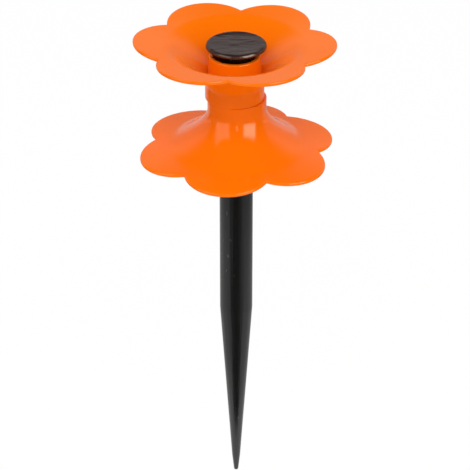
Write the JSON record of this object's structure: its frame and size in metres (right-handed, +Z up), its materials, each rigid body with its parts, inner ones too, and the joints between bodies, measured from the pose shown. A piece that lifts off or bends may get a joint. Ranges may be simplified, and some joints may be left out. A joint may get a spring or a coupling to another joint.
{
  "type": "hose guide stake",
  "caption": "Garden hose guide: flower-shaped spool halves spin loosely on a black ground stake with a conical spike, kept on by a round cap, and turn a hose round a bed's corner.",
  "frame": {"origin": "on the stake's axis where the conical spike meets the straight shank, about the ground line", "axes": "+Z up along the stake, +X to the right and -Y towards the viewer of the picture"},
  "size_m": [0.1158, 0.1152, 0.2987],
  "materials": {
    "stake_plastic": "semi-gloss black moulded plastic with fine scuffs",
    "cap_plastic": "satin black moulded plastic",
    "flower_plastic": "glossy orange moulded plastic"
  },
  "bodies": {
    "stake_body": {"stake": "stake_plastic", "cap": "cap_plastic"},
    "upper_flower_body": {"upper_flower": "flower_plastic"},
    "lower_flower_body": {"lower_flower": "flower_plastic"}
  },
  "joints": [
    {"name": "upper_flower_spin", "type": "hinge", "parent": "stake_body", "child": "upper_flower_body", "pos_m": [-0.0009, 0, 0.1507], "axis": [0, 0, 1], "continuous": true},
    {"name": "lower_flower_spin", "type": "hinge", "parent": "stake_body", "child": "lower_flower_body", "pos_m": [0.00042, 0, 0.132], "axis": [0, 0, 1], "continuous": true}
  ]
}
